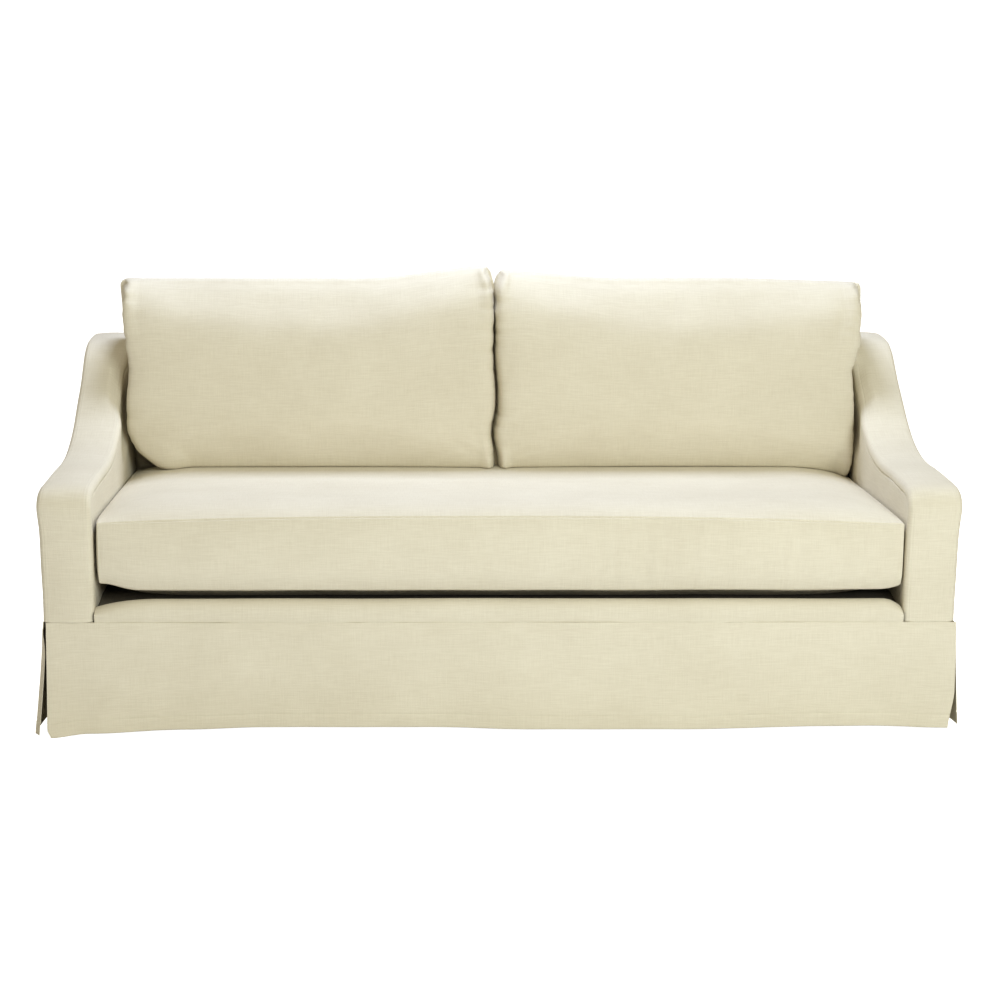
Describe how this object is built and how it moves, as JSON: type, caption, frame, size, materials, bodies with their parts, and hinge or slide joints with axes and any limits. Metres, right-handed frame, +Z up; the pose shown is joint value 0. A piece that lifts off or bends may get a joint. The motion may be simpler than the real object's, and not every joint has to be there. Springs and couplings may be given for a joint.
{
  "type": "sofa slipcover",
  "caption": "Fitted linen slipcover of a slope-arm sofa with a tailored corner-slit skirt, a bench seat cushion and knife-edged back cushions.",
  "frame": {"origin": "centre of the cover's box in plan, on the floor", "axes": "+X along the sofa's width to the right of a viewer in front of it, +Y from its front to its back, +Z up"},
  "size_m": [2.0716, 0.9352, 0.9888],
  "materials": {
    "linen": "matt slubby weave"
  },
  "bodies": {
    "root": {"arm_strip_left": "linen", "outside_arm_left": "linen", "inside_arm_left": "linen", "skirt_left": "linen", "underlay_front_left": "linen", "underlay_back_left": "linen", "arm_strip_right": "linen", "outside_arm_right": "linen", "inside_arm_right": "linen", "skirt_right": "linen", "underlay_front_right": "linen", "underlay_back_right": "linen", "front_band": "linen", "deck": "linen", "inside_back": "linen", "outside_back": "linen", "skirt_front": "linen", "skirt_back": "linen", "seat_cushion": "linen", "back_cushion_left": "linen", "back_cushion_right": "linen"}
  },
  "joints": []
}
